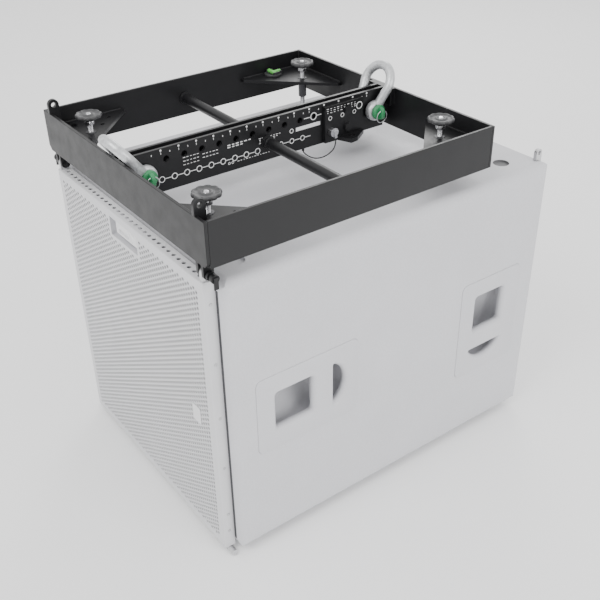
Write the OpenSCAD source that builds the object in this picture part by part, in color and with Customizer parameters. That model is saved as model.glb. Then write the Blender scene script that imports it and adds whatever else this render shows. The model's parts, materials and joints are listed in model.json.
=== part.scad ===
// Flyable line array subwoofer cabinet with its flying frame pinned on top.
// Origin: centre of the footprint, on the floor under the rubber feet.
// +Z is up, the perforated grille faces -Y, the flying frame stands over the front.

/* [Cabinet] */
// Width over the two side panels
cab_w = 600; // [590:1:610]
// Height of the wooden cabinet without its feet
cab_h = 590; // [585:1:600]
// Distance from the grille face to the back panel
cab_d = 780; // [775:1:790]
// Thickness of the plywood panels
wall = 18; // [15:0.5:21]
// Radius of the rounded outer edges
edge_r = 20; // [12:1:24]
// Height of the rubber feet
foot_h = 15; // [12:1:20]

/* [Grille] */
// Width of the grille box
grille_w = 549; // [540:1:550]
// Depth that the grille stands proud of the cabinet
grille_d = 22.5; // [20:0.5:24]
// Thickness of the grille sheet
sheet = 1.5; // [1:0.1:2]

/* [Handles] */
// Length of a handle plate
handle_l = 225; // [215:1:230]
// Width of a handle plate
handle_w = 164; // [150:1:168]
// Depth of the hand bowl
handle_depth = 62; // [55:1:66]

/* [Woofer] */
// Outer radius of the woofer frame
woofer_r = 230; // [228:0.5:231]
// Height of the woofer axis
woofer_z = 345; // [343:1:346]

/* [Flying frame] */
// Outer width of the frame ring
frame_w = 593; // [588:1:598]
// Outer depth of the frame ring
frame_d = 607; // [600:1:612]
// Height of the flat bar
frame_h = 80; // [78:1:82]
// Thickness of the flat bar
bar = 6; // [5:0.5:7]
// Gap between the cabinet top and the frame
frame_gap = 35; // [33:1:36]
// Length of a corner gusset's legs
gusset_leg = 155; // [150:1:175]

/* [Spine] */
// Free width between the two spine plates
spine_gap = 14; // [12:1:16]
// Pitch of the pick-up holes
pickup_pitch = 36; // [35:0.5:37]
// Radius of the pick-up holes
pickup_r = 6; // [5:0.5:6.5]

/* [Jack screws] */
// Half the distance between the jack screws across the frame
jack_x = 213.3; // [208:0.1:216]
// Distance of the front pair from the front of the frame
jack_front = 55.3; // [54:0.1:60]
// Distance of the rear pair from the front of the frame
jack_rear = 553.8; // [545:0.1:556]
// Radius of the threaded rods
rod_r = 5; // [4:0.5:6]
// Radius of the knobs
knob_r = 25; // [22:0.5:26]

/* [Shackles] */
// Radius of the bow's round bar
bow_bar_r = 9; // [8:0.5:9.5]
// Radius of the shackle pin
pin_r = 10; // [9:0.5:10.5]
// Height of the crown's centre line over the pin
bow_h = 88; // [84:1:92]

/* [Hidden] */
$fn = 48;

// Main planes of the cabinet
half_w = cab_w / 2;
front_y = -cab_d / 2;
rear_y = cab_d / 2;
shell_y = front_y + grille_d;
base_z = foot_h;
top_z = foot_h + cab_h;
in_x = half_w - wall;
in_lo = base_z + wall;
in_hi = top_z - wall;
baffle_t = 24;
baffle_y = shell_y + baffle_t;

// Handles
handle_front_y = -206.8;
handle_front_z = 312.5;
handle_rear_y = 253.5;
handle_rear_z = 285.5;
handle_corner = 13;
handle_proud = 1.5;
handle_flange = 3;

// Stacking feet and recesses
foot_x = 242.5;
foot_y = 308;
recess_r = 16;
recess_depth = 5;

// Flying frame planes
ring_x = frame_w / 2;
ring_front = front_y;
ring_rear = front_y + frame_d;
ring_lo = top_z + frame_gap;
ring_hi = ring_lo + frame_h;
gusset_hi = ring_lo + 47;
jack_front_y = front_y + jack_front;
jack_rear_y = front_y + jack_rear;

// Threaded bushes of the jack screws
bush_r = 10.2;
bush_lo = gusset_hi - 40;
bush_run = 0.6;

// Spine
spine_in = spine_gap / 2;
spine_out = spine_in + bar;
pickup_first = front_y + 93.5;
pickup_z = ring_hi - 21;
pickup_count = 13;
tube_y = front_y + frame_d / 2;
tube_z = ring_lo + 37;
tube_r = 10;

// Shackles: pin places and the lean at which each bow rests
front_pin_y = front_y + 47;
front_pin_z = ring_lo + 43;
front_lean = 37.5;
rear_pin_y = front_y + 558;
rear_pin_z = ring_lo + 41;
rear_lean = -28;
eye_in = 16;
eye_out = 32;
bow_r = 35;
run = 0.06;

// Hoist bracket on the right spine plate, its bolts and its quick-release pin
quick_r = 6;
quick_y = 60;
bolt_y = pickup_first + 11 * pickup_pitch;
low_hole_z = ring_lo + 24;
bracket_x = spine_out + 0.1;
bracket_t = 8;

// Lanyard of the quick-release pin: its route from the pin's tab down to the ferrule
ferrule_h = 5;
ferrule_x = 10;
cord_r = 1.25;
lanyard_route = [
  [36, 60, 654], [36, 60, 648], [35.4, 59.4, 641], [34, 58, 634], [31.5, 55, 627.5],
  [28.5, 50, 622], [25.5, 43.5, 617.8], [22.5, 36, 615.3], [19.5, 28, 614.8], [17, 20.5, 616.4],
  [14.8, 13.8, 619.6], [12.8, 8, 623.8], [11.2, 3.6, 628.2], [10.2, 0.8, 632], [10, 0, 635]];

// Front rigging lugs
lug_x = 267;
lug_t = 8;
lug_y = front_y + 12;
lug_z = top_z + 15;
lug_pin_r = 5;
eye_y = front_y + 10;
eye_z = ring_hi + 16;

// Rear links
link_x = 275;
link_y = rear_y - 15;
link_t = 8;
link_w = 15;

// Front window
window_w = 103;
window_lo = base_z + 540;
window_hi = base_z + 577;

// Slot port under the woofer
port_h = 60;

// Woofer planes along Y
basket_y = shell_y + 12;
magnet_y = basket_y + 150;

// Connector plate in the back panel
socket_z = 190;
plate_w = 150;
plate_h = 110;

// ---------- helpers ----------

module slab(lo, hi) {
  translate(lo) cube([hi[0] - lo[0], hi[1] - lo[1], hi[2] - lo[2]]);
}

module x_rod(x0, x1, y, z, r) {
  translate([x0, y, z]) rotate([0, 90, 0]) cylinder(h = x1 - x0, r = r);
}

module y_rod(y0, y1, x, z, r) {
  translate([x, y0, z]) rotate([-90, 0, 0]) cylinder(h = y1 - y0, r = r);
}

module z_rod(z0, z1, x, y, r) {
  translate([x, y, z0]) cylinder(h = z1 - z0, r = r);
}

module round_rect(w, h, r) {
  square([w - 2 * r, h], center = true);
  square([w, h - 2 * r], center = true);
  for (sx = [-1, 1], sy = [-1, 1])
    translate([sx * (w / 2 - r), sy * (h / 2 - r)]) circle(r);
}

// Profile drawn in X-Z, turned about the woofer axis, which runs along Y
module about_woofer_axis() {
  translate([0, 0, woofer_z]) rotate([-90, 0, 0]) children();
}

module both_sides() {
  children();
  mirror([1, 0, 0]) children();
}

module at_feet() {
  for (sx = [-1, 1], sy = [-1, 1]) translate([sx * foot_x, sy * foot_y, 0]) children();
}

// Places on the right side panel: local X runs from the hand bowl to the finger hole,
// local Z points out of the panel.
module at_handle_front() {
  translate([half_w, handle_front_y, handle_front_z])
    rotate([0, 90, 0]) rotate([0, 0, 90]) children();
}

module at_handle_rear() {
  translate([half_w, handle_rear_y, handle_rear_z])
    rotate([0, 90, 0]) children();
}

// ---------- cabinet ----------

module shell_envelope() {
  length = rear_y - shell_y;
  mid_y = (rear_y + shell_y) / 2;
  mid_z = (base_z + top_z) / 2;
  intersection() {
    translate([0, rear_y, mid_z]) rotate([90, 0, 0])
      linear_extrude(length) round_rect(cab_w, cab_h, edge_r);
    translate([0, mid_y, base_z])
      linear_extrude(cab_h) round_rect(cab_w, length, edge_r);
    translate([-half_w, mid_y, mid_z]) rotate([90, 0, 90])
      linear_extrude(cab_w) round_rect(length, cab_h, edge_r);
  }
}

module top_panel() {
  color("gainsboro") difference() {
    intersection() {
      shell_envelope();
      slab([-half_w, shell_y, in_hi], [half_w, rear_y, top_z]);
    }
    at_feet() translate([0, 0, top_z - recess_depth]) cylinder(h = recess_depth + 1, r = recess_r);
    both_sides() link_slot(in_hi - 1, top_z + 1);
  }
}

module link_slot(z0, z1) {
  slab([link_x - link_t / 2 - 1, link_y - link_w / 2 - 1, z0],
       [link_x + link_t / 2 + 1, link_y + link_w / 2 + 1, z1]);
}

module bottom_panel() {
  color("gainsboro") intersection() {
    shell_envelope();
    slab([-half_w, shell_y, base_z], [half_w, rear_y, in_lo]);
  }
}

module handle_cutout() {
  translate([0, 0, -handle_flange]) linear_extrude(handle_flange + 1)
    round_rect(handle_l + 0.6, handle_w + 0.6, handle_corner);
  translate([0, 0, -wall - 1]) linear_extrude(wall + 1)
    round_rect(handle_l - 22, handle_w - 30, 12);
}

module right_side_solid() {
  difference() {
    intersection() {
      shell_envelope();
      slab([in_x, shell_y, in_lo], [half_w, rear_y, in_hi]);
    }
    at_handle_front() handle_cutout();
    at_handle_rear() handle_cutout();
  }
}

module right_panel() {
  color("lavender") right_side_solid();
}

module left_panel() {
  color("lavender") mirror([1, 0, 0]) right_side_solid();
}

module back_panel() {
  color("gainsboro") difference() {
    slab([-in_x, rear_y - wall, in_lo], [in_x, rear_y, in_hi]);
    both_sides()
      slab([link_x - 9, rear_y - wall - 1, base_z + 440], [in_x + 1, rear_y - 4.4, in_hi + 1]);
    translate([0, rear_y - 3, socket_z]) rotate([-90, 0, 0])
      linear_extrude(4) round_rect(plate_w + 0.6, plate_h + 0.6, 10);
    slab([-55, rear_y - wall - 1, socket_z - 35], [55, rear_y, socket_z + 35]);
  }
}

module front_baffle() {
  color("dimgray") difference() {
    slab([-in_x, shell_y, in_lo], [in_x, baffle_y, in_hi]);
    about_woofer_axis() {
      translate([0, 0, shell_y - 1]) cylinder(h = baffle_t + 2, r = woofer_r - 18, $fn = 96);
      translate([0, 0, shell_y - 1]) cylinder(h = 13, r = woofer_r + 0.5, $fn = 96);
    }
    slab([-255, shell_y - 1, in_lo - 1], [255, baffle_y + 1, in_lo + port_h]);
  }
}

module port_shelf() {
  color("burlywood")
    slab([-in_x, baffle_y, in_lo + port_h], [in_x, 100, in_lo + port_h + wall]);
}

module window_brace() {
  brace_y = 110;
  brace_lo = in_lo + port_h + wall;
  color("burlywood") difference() {
    slab([-in_x, brace_y, brace_lo], [in_x, brace_y + wall, in_hi]);
    for (sx = [-1, 1], z = [240, 440])
      y_rod(brace_y - 1, brace_y + wall + 1, sx * 130, z + 10, 85);
  }
}

module damping_lining() {
  color("darkgray") slab([-230, rear_y - wall - 25, 300], [230, rear_y - wall, 560]);
}

module rubber_feet() {
  color("black") at_feet() difference() {
    union() {
      translate([0, 0, 3]) cylinder(h = foot_h - 3, r = recess_r - 1);
      cylinder(h = 3, r1 = recess_r - 3, r2 = recess_r - 1);
    }
    translate([0, 0, -1]) cylinder(h = 6, r = 6);
  }
}

// ---------- grille ----------

module grille() {
  gx = grille_w / 2;
  color("whitesmoke") difference() {
    slab([-gx, front_y, base_z], [gx, shell_y, top_z]);
    slab([-gx + sheet, front_y + sheet, base_z + sheet], [gx - sheet, shell_y + 1, top_z - sheet]);
    slab([-window_w / 2, front_y - 1, window_lo], [window_w / 2, front_y + sheet + 1, window_hi]);
    both_sides() {
      slab([lug_x - lug_t / 2 - 1, lug_y - 11, top_z - 5],
           [lug_x + lug_t / 2 + 1, lug_y + 10, top_z + 1]);
      slab([lug_x - lug_t / 2 - 1, lug_y - 11, base_z - 1],
           [lug_x + lug_t / 2 + 1, lug_y + 10, base_z + 5]);
    }
  }
}

module grille_foam() {
  foam_lo = front_y + sheet + 0.1;
  color("dimgray") difference() {
    slab([-grille_w / 2 + 14, foam_lo, base_z + 6], [grille_w / 2 - 14, foam_lo + 4, top_z - 6]);
    slab([-window_w / 2 - 4, foam_lo - 1, window_lo - 4],
         [window_w / 2 + 4, foam_lo + 5, window_hi + 4]);
  }
}

module grille_badge() {
  color("white") translate([216, front_y, base_z + 294]) rotate([90, 0, 0])
    linear_extrude(1.5) round_rect(26, 36, 3);
}

module grille_screw_set() {
  both_sides() for (z = [42, 84, 200, 315, 430, 548])
    x_rod(grille_w / 2, grille_w / 2 + 1.2, front_y + 12, base_z + z, 3);
}

module window_cup() {
  cup_d = 18;
  lo = front_y + sheet + 0.1;
  color("dimgray") difference() {
    slab([-window_w / 2 - 3, lo, window_lo - 3], [window_w / 2 + 3, lo + cup_d, window_hi + 3]);
    slab([-window_w / 2 - 1, lo - 1, window_lo - 1],
         [window_w / 2 + 1, lo + cup_d - 2, window_hi + 1]);
    // Room for the surround and the top screw of the woofer
    about_woofer_axis() {
      translate([0, 0, shell_y - 10.4]) cylinder(h = 20, r = woofer_r - 18.8, $fn = 96);
      translate([0, 8 - woofer_r, shell_y - 5.4]) cylinder(h = 8, r = 5.3);
    }
  }
}

module window_latch() {
  color("white") difference() {
    slab([-36, front_y + 4, window_lo + 9], [window_w / 2 - 1, front_y + 17, window_hi - 2]);
    slab([-26, front_y + 3, window_lo + 13], [14, front_y + 8, window_lo + 20]);
  }
}

// ---------- handles ----------

// The finger hole: half an ellipse with its flat side towards the hand bowl
module finger_hole_outline() {
  intersection() {
    translate([48, 0]) scale([40 / 48, 1]) circle(r = 48, $fn = 64);
    translate([54, -60]) square([60, 120]);
  }
}

module handle_solid() {
  bowl_x = -30;
  bowl = 88;
  block_l = handle_l - 24;
  block_w = handle_w - 32;
  difference() {
    union() {
      translate([0, 0, -handle_flange + 0.05]) linear_extrude(handle_flange + handle_proud)
        round_rect(handle_l, handle_w, handle_corner);
      translate([0, 0, -handle_depth - 3]) linear_extrude(handle_depth + 1)
        round_rect(block_l, block_w, 12);
    }
    translate([bowl_x, 0, -handle_depth]) linear_extrude(handle_depth + 3)
      round_rect(bowl, bowl, 10);
    translate([0, 0, -handle_depth]) linear_extrude(handle_depth + 3) finger_hole_outline();
    slab([bowl_x + 40, -46, -handle_depth], [60, 46, -handle_depth + 32]);
  }
}

module handle_front_right() {
  color("silver") at_handle_front() handle_solid();
}

module handle_rear_right() {
  color("silver") at_handle_rear() handle_solid();
}

module handle_front_left() {
  color("silver") mirror([1, 0, 0]) at_handle_front() handle_solid();
}

module handle_rear_left() {
  color("silver") mirror([1, 0, 0]) at_handle_rear() handle_solid();
}

module panel_screws() {
  color("gray") {
    grille_screw_set();
    woofer_screw_set();
    for (sx = [-1, 1], sz = [-1, 1])
      y_rod(rear_y, rear_y + 1.5, sx * (plate_w / 2 - 9), socket_z + sz * (plate_h / 2 - 9), 3.5);
  }
}

// ---------- rigging hardware in the cabinet ----------

module front_rail_right() {
  lo_z = base_z - 7;
  difference() {
    union() {
      slab([lug_x - lug_t / 2, lug_y - 9, base_z + 2], [lug_x + lug_t / 2, lug_y + 9, lug_z]);
      x_rod(lug_x - lug_t / 2, lug_x + lug_t / 2, lug_y, lug_z, 9);
      slab([lug_x - lug_t / 2, lug_y - 7, lo_z], [lug_x + lug_t / 2, lug_y + 7, base_z + 4]);
      x_rod(lug_x - lug_t / 2, lug_x + lug_t / 2, lug_y, lo_z, 7);
      x_rod(lug_x + lug_t / 2 - 0.1, lug_x + 22, lug_y, lo_z, 6);
    }
    x_rod(lug_x - lug_t, lug_x + lug_t, lug_y, lug_z, lug_pin_r + run);
  }
}

module rigging_rails() {
  color("gray") both_sides() {
    front_rail_right();
    rear_guide_right();
  }
}

module rear_guide_right() {
  z0 = base_z + 441;
  y0 = link_y - link_w / 2;
  y1 = link_y + link_w / 2;
  difference() {
    slab([link_x - 8, y0 - 5, z0], [in_x, y1 + 3, in_hi]);
    slab([link_x - link_t / 2 - run, y0 - run, z0 - 1],
         [link_x + link_t / 2 + run, y1 + run, in_hi + 1]);
  }
}

module rear_link_solid() {
  head_z = top_z + 15.5;
  difference() {
    union() {
      slab([link_x - link_t / 2, link_y - link_w / 2, base_z + 460],
           [link_x + link_t / 2, link_y + link_w / 2, head_z]);
      x_rod(link_x - link_t / 2, link_x + link_t / 2, link_y, head_z, link_w / 2);
    }
    x_rod(link_x - link_t, link_x + link_t, link_y, head_z, 4);
  }
}

module rear_link_right() {
  color("silver") rear_link_solid();
}

module rear_link_left() {
  color("silver") mirror([1, 0, 0]) rear_link_solid();
}

// ---------- woofer ----------

module woofer_basket() {
  color("dimgray") about_woofer_axis() difference() {
    rotate_extrude($fn = 96) polygon([
      [woofer_r, shell_y], [woofer_r, basket_y], [woofer_r - 19, basket_y],
      [125, magnet_y - 25], [112, magnet_y - 25], [112, magnet_y], [60, magnet_y],
      [60, magnet_y - 6], [106, magnet_y - 6], [106, magnet_y - 31], [122, magnet_y - 31],
      [woofer_r - 25, basket_y - 2], [woofer_r - 25, shell_y + 3], [woofer_r - 18, shell_y + 3],
      [woofer_r - 18, shell_y]]);
    for (a = [0 : 45 : 315]) rotate([0, 0, a + 22.5])
      slab([128, -38, basket_y + 14], [250, 38, magnet_y - 34]);
  }
}

module woofer_magnet() {
  color("darkslategray") about_woofer_axis() rotate_extrude($fn = 96) polygon([
    [53, magnet_y + 0.1], [105, magnet_y + 0.1], [105, magnet_y + 9], [110, magnet_y + 10],
    [110, magnet_y + 46], [105, magnet_y + 47], [105, magnet_y + 58], [18, magnet_y + 58],
    [18, magnet_y - 4], [47, magnet_y - 4], [47, magnet_y + 46], [58, magnet_y + 46],
    [58, magnet_y + 10], [53, magnet_y + 10]]);
}

module woofer_cone() {
  rim = woofer_r - 44;
  color("black") about_woofer_axis() {
    rotate_extrude($fn = 96) polygon([
      [rim, shell_y + 2], [rim, shell_y + 16], [rim - 3, shell_y + 16],
      [54.2, magnet_y - 50], [50.6, magnet_y - 50], [50.6, magnet_y - 60],
      [53, magnet_y - 60], [rim - 3, shell_y + 2]]);
    rotate_extrude($fn = 96) polygon(concat(
      [for (a = [0 : 10 : 90]) [70 * cos(a), magnet_y - 68 - 28 * sin(a)]],
      [for (a = [90 : -10 : 0]) [67 * cos(a), magnet_y - 68 - 26 * sin(a)]]));
  }
}

module voice_coil() {
  color("peru") about_woofer_axis() difference() {
    translate([0, 0, magnet_y - 62]) cylinder(h = 80, r = 50.4, $fn = 96);
    translate([0, 0, magnet_y - 63]) cylinder(h = 82, r = 49.4, $fn = 96);
  }
}

module woofer_surround() {
  mid = woofer_r - 31.5;
  color("black") about_woofer_axis() rotate_extrude($fn = 96) {
    translate([mid, shell_y + 2]) intersection() {
      difference() {
        circle(r = 12.1, $fn = 32);
        circle(r = 10.4, $fn = 32);
      }
      translate([-13, -13]) square([26, 13]);
    }
    translate([mid + 10.4, shell_y + 0.5]) square([3, 2.3]);
  }
}

module woofer_spider() {
  color("goldenrod") about_woofer_axis() rotate_extrude($fn = 96) polygon(concat(
    [for (i = [0 : 10]) [50.8 + i * 5.5, magnet_y - 36 + (i % 2) * 3]],
    [for (i = [10 : -1 : 0]) [50.8 + i * 5.5, magnet_y - 34.5 + (i % 2) * 3]]));
}

module woofer_screw_set() {
  about_woofer_axis() for (a = [0 : 45 : 315])
    rotate([0, 0, a]) translate([woofer_r - 8, 0, shell_y - 5]) cylinder(h = 5, r = 5);
}

// ---------- connector plate ----------

module connector_plate() {
  color("black") difference() {
    translate([0, rear_y - 2.9, socket_z]) rotate([-90, 0, 0])
      linear_extrude(2.9) round_rect(plate_w, plate_h, 10);
    for (sx = [-1, 1]) y_rod(rear_y - 4, rear_y + 1, sx * 30, socket_z, 12);
  }
}

module connector_sockets() {
  color("royalblue") for (sx = [-1, 1]) translate([sx * 30, 0, 0]) difference() {
    union() {
      translate([0, rear_y, socket_z]) rotate([-90, 0, 0]) linear_extrude(3.5)
        round_rect(31, 31, 3);
      y_rod(rear_y - 28, rear_y + 0.1, 0, socket_z, 11.8);
    }
    difference() {
      y_rod(rear_y - 24, rear_y + 4, 0, socket_z, 10);
      y_rod(rear_y - 24, rear_y - 1, 0, socket_z, 5);
    }
  }
}

// ---------- flying frame ----------

module frame_front() {
  color("#2b2b2d") difference() {
    slab([-ring_x, ring_front, ring_lo], [ring_x, ring_front + bar, ring_hi]);
    both_sides() translate([ring_x, ring_front - 1, ring_lo])
      rotate([0, 45, 0]) cube([13, 2 * bar + 4, 13], center = true);
  }
}

module frame_rear() {
  color("#2b2b2d") {
    slab([-ring_x, ring_rear - bar, ring_lo], [ring_x, ring_rear, ring_hi]);
    slab([-34, ring_rear - bar - 11, ring_hi - 34], [34, ring_rear - bar, ring_hi]);
  }
}

module right_rail_solid() {
  difference() {
    slab([ring_x - bar, ring_front + bar, ring_lo], [ring_x, ring_rear - bar, ring_hi]);
    translate([ring_x, ring_front + bar, ring_lo]) rotate([45, 0, 0])
      cube([4 * bar, 4, 4], center = true);
  }
}

module frame_right() {
  color("#2b2b2d") right_rail_solid();
}

module frame_left() {
  color("#2b2b2d") mirror([1, 0, 0]) right_rail_solid();
}

// A triangle with clipped tips, its square corner at the origin
module gusset_outline() {
  tip = 9;
  polygon([[0, 0], [gusset_leg, 0], [gusset_leg, tip], [tip, gusset_leg], [0, gusset_leg]]);
}

module gusset_at(sx, sy) {
  corner_x = sx * (ring_x - bar);
  corner_y = sy < 0 ? ring_front + bar : ring_rear - bar;
  jack_y = sy < 0 ? jack_front_y : jack_rear_y;
  difference() {
    translate([corner_x, corner_y, gusset_hi - bar])
      mirror([sx > 0 ? 1 : 0, 0, 0]) mirror([0, sy > 0 ? 1 : 0, 0])
        linear_extrude(bar) gusset_outline();
    z_rod(gusset_hi - bar - 1, gusset_hi + 1, sx * jack_x, jack_y, bush_r + 0.02);
    // Two drain holes and a larger access hole: distance from the side, from the front, radius
    if (sy < 0) for (p = [[53.5, 84.5, 4], [26.6, 110.3, 4], [23, 32, 12]])
      z_rod(gusset_hi - bar - 1, gusset_hi + 1, corner_x - sx * p[0], corner_y + p[1], p[2]);
  }
}

module corner_gussets() {
  color("#2b2b2d") for (sx = [-1, 1], sy = [-1, 1]) gusset_at(sx, sy);
}

module spine_plate(x0, x1) {
  difference() {
    slab([x0, ring_front + bar, ring_lo], [x1, ring_rear - bar - 11, ring_hi]);
    for (i = [0 : pickup_count - 1])
      x_rod(x0 - 1, x1 + 1, pickup_first + i * pickup_pitch, pickup_z, pickup_r);
    x_rod(x0 - 1, x1 + 1, front_pin_y, front_pin_z, pin_r + run);
    x_rod(x0 - 1, x1 + 1, rear_pin_y, rear_pin_z, pin_r + run);
    x_rod(x0 - 1, x1 + 1, quick_y, low_hole_z, quick_r + run);
    x_rod(x0 - 1, x1 + 1, bolt_y, low_hole_z, pickup_r);
  }
}

module spine_left() {
  color("#1d1d1f") spine_plate(-spine_out, -spine_in);
}

module spine_right() {
  color("#1d1d1f") {
    spine_plate(spine_in, spine_out);
    z_rod(ring_lo - ferrule_h, ring_lo, ferrule_x, 0, 2.6);
  }
}

module spine_spacers() {
  color("#3a3a3c") {
    for (p = [[front_pin_y, front_pin_z], [rear_pin_y, rear_pin_z]]) difference() {
      x_rod(-spine_in, spine_in, p[0], p[1], 16);
      x_rod(-spine_in - 1, spine_in + 1, p[0], p[1], pin_r + run);
    }
    for (y = [-230, tube_y, 20]) x_rod(-spine_in, spine_in, y, tube_z, tube_r);
  }
}

module cross_tubes() {
  end_x = ring_x - bar;
  color("#2b2b2d") both_sides() difference() {
    union() {
      x_rod(spine_out, end_x, tube_y, tube_z, tube_r);
      x_rod(spine_out, spine_out + 4, tube_y, tube_z, tube_r + 2.5);
      x_rod(end_x - 4, end_x, tube_y, tube_z, tube_r + 2.5);
    }
    x_rod(spine_out + 6, end_x - 6, tube_y, tube_z, tube_r - 2.5);
  }
}

// Upper eyes and lower clevis ears at the two front corners
module front_lug_right() {
  eye_r = 10.5;
  ear_t = 7;
  difference() {
    union() {
      x_rod(lug_x - 4, lug_x + 4, eye_y, eye_z, eye_r);
      slab([lug_x - 4, ring_front + bar, ring_hi - 32], [lug_x + 4, eye_y + eye_r, eye_z]);
      slab([lug_x - 4, eye_y - eye_r, ring_hi], [lug_x + 4, ring_front + bar, eye_z]);
    }
    x_rod(lug_x - 5, lug_x + 5, eye_y, eye_z, 4.7);
  }
  for (x = [lug_x - 4.3 - ear_t, lug_x + 4.3]) difference() {
    union() {
      x_rod(x, x + ear_t, lug_y, lug_z, 9.5);
      slab([x, lug_y - 9.5, lug_z], [x + ear_t, lug_y + 9.5, ring_lo]);
    }
    x_rod(x - 1, x + ear_t + 1, lug_y, lug_z, lug_pin_r + run);
  }
}

module front_lugs() {
  color("#242426") both_sides() front_lug_right();
}

module front_pin_solid() {
  collar = lug_x + 13.3;
  head = lug_x + 23;
  color("#1b1b1d") {
    x_rod(lug_x - 15, head + 0.1, lug_y, lug_z, lug_pin_r);
    x_rod(collar, collar + 5, lug_y, lug_z, 8);
    x_rod(head, head + 7, lug_y, lug_z, 7.5);
    slab([head + 6.9, lug_y - 4, lug_z - 17], [head + 9.5, lug_y + 4, lug_z + 4]);
  }
}

module front_pin_right() {
  front_pin_solid();
}

module front_pin_left() {
  mirror([1, 0, 0]) front_pin_solid();
}

// ---------- jack screws ----------

module at_jacks() {
  for (sx = [-1, 1], y = [jack_front_y, jack_rear_y]) translate([sx * jack_x, y, 0]) children();
}

module jack_bushes() {
  color("#3a3a3c") at_jacks() difference() {
    translate([0, 0, bush_lo]) cylinder(h = gusset_hi - bush_lo + 1.2, r = bush_r);
    translate([0, 0, bush_lo - 1]) cylinder(h = 50, r = rod_r + bush_run);
  }
}

module jack_foot(x, y) {
  color("#3a3a3c") translate([x, y, top_z + 0.2]) difference() {
    union() {
      cylinder(h = 4, r = 15);
      translate([0, 0, 3.9]) cylinder(h = 8, r = 10);
    }
    translate([0, 0, 4.5]) cylinder(h = 10, r = rod_r + run);
  }
}

// Threaded rod, lock nut, hub and a flat lobed knob with the rod's end flush in its middle
module jack_screw(x, y) {
  nut_lo = ring_hi - 17.3;
  hub_lo = ring_hi - 9.4;
  knob_lo = ring_hi - 3.5;
  knob_t = 7.5;
  lobes = 10;
  lobe_r = 5;
  translate([x, y, 0]) {
    color("silver") {
      translate([0, 0, top_z + 5]) cylinder(h = knob_lo + knob_t + 0.5 - top_z - 5, r = rod_r);
      translate([0, 0, nut_lo]) cylinder(h = hub_lo - nut_lo + 0.1, r = 9.8, $fn = 6);
    }
    color("#333335") {
      translate([0, 0, hub_lo]) cylinder(h = knob_lo - hub_lo + 0.1, r1 = 10.5, r2 = 13);
      translate([0, 0, knob_lo]) cylinder(h = knob_t, r = knob_r - 1.6);
      for (i = [0 : lobes - 1]) rotate([0, 0, i * 360 / lobes])
        translate([knob_r - lobe_r, 0, knob_lo + 0.6]) cylinder(h = knob_t - 1.2, r = lobe_r);
    }
  }
}

module jack_foot_fl() {
  jack_foot(-jack_x, jack_front_y);
}

module jack_foot_fr() {
  jack_foot(jack_x, jack_front_y);
}

module jack_foot_rl() {
  jack_foot(-jack_x, jack_rear_y);
}

module jack_foot_rr() {
  jack_foot(jack_x, jack_rear_y);
}

module jack_screw_fl() {
  jack_screw(-jack_x, jack_front_y);
}

module jack_screw_fr() {
  jack_screw(jack_x, jack_front_y);
}

module jack_screw_rl() {
  jack_screw(-jack_x, jack_rear_y);
}

module jack_screw_rr() {
  jack_screw(jack_x, jack_rear_y);
}

// ---------- shackles ----------

// A bow in the X-Z plane: two eyes on the pin axis at the origin, two legs that run
// tangent into a crown arc.
module bow_solid() {
  crown_z = bow_h - bow_r;
  leg_x = (eye_in + eye_out) / 2;
  leg_z = 6;
  reach = norm([leg_x, crown_z - leg_z]);
  turn = acos(bow_r / reach) - atan2(crown_z - leg_z, leg_x);
  touch = [bow_r * cos(turn), crown_z + bow_r * sin(turn)];
  leg = touch - [leg_x, leg_z];
  lean = atan2(leg[0], leg[1]);
  color("lightgray") difference() {
    union() {
      translate([0, 0, crown_z]) rotate([90, 0, 0]) rotate([0, 0, turn])
        rotate_extrude(angle = 180 - 2 * turn) translate([bow_r, 0]) circle(bow_bar_r);
      both_sides() {
        translate([leg_x, 0, leg_z]) rotate([0, lean, 0])
          cylinder(h = norm(leg), r = bow_bar_r);
        translate([touch[0], 0, touch[1]]) sphere(bow_bar_r + 0.15);
        x_rod(eye_in, eye_out, 0, 0, 20);
      }
    }
    x_rod(-eye_out - 5, eye_out + 5, 0, 0, pin_r + run);
    // Spot faces for the head and the nut
    x_rod(eye_out, eye_out + 15, 0, 0, 15.4);
    x_rod(-eye_out - 15, -eye_out, 0, 0, 15.4);
    slab([-eye_in, -25, -25], [eye_in, 25, 22]);
  }
}

module shackle_pin_solid() {
  color("lightgray") x_rod(-eye_out - 2, eye_out + 0.6, 0, 0, pin_r);
  color("seagreen") {
    x_rod(eye_out + 0.5, eye_out + 8, 0, 0, 15);
    difference() {
      x_rod(eye_out + 7.9, eye_out + 20, 0, 0, 12);
      slab([eye_out + 8.5, 4, -20], [eye_out + 30, 20, 20]);
      slab([eye_out + 8.5, -20, -20], [eye_out + 30, -4, 20]);
      y_rod(-10, 10, eye_out + 15, 0, 3.2);
    }
  }
  color("lightgray") difference() {
    x_rod(-eye_out - 14, -eye_out - 0.5, 0, 0, 15, $fn = 6);
    x_rod(-eye_out - 15, -eye_out - 8, 0, 0, 6);
  }
}

module shackle_front() {
  translate([0, front_pin_y, front_pin_z]) rotate([front_lean, 0, 0]) bow_solid();
}

module shackle_front_pin() {
  translate([0, front_pin_y, front_pin_z]) shackle_pin_solid();
}

module shackle_rear() {
  translate([0, rear_pin_y, rear_pin_z]) rotate([rear_lean, 0, 0]) bow_solid();
}

module shackle_rear_pin() {
  translate([0, rear_pin_y, rear_pin_z]) shackle_pin_solid();
}

// ---------- hoist bracket ----------

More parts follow.
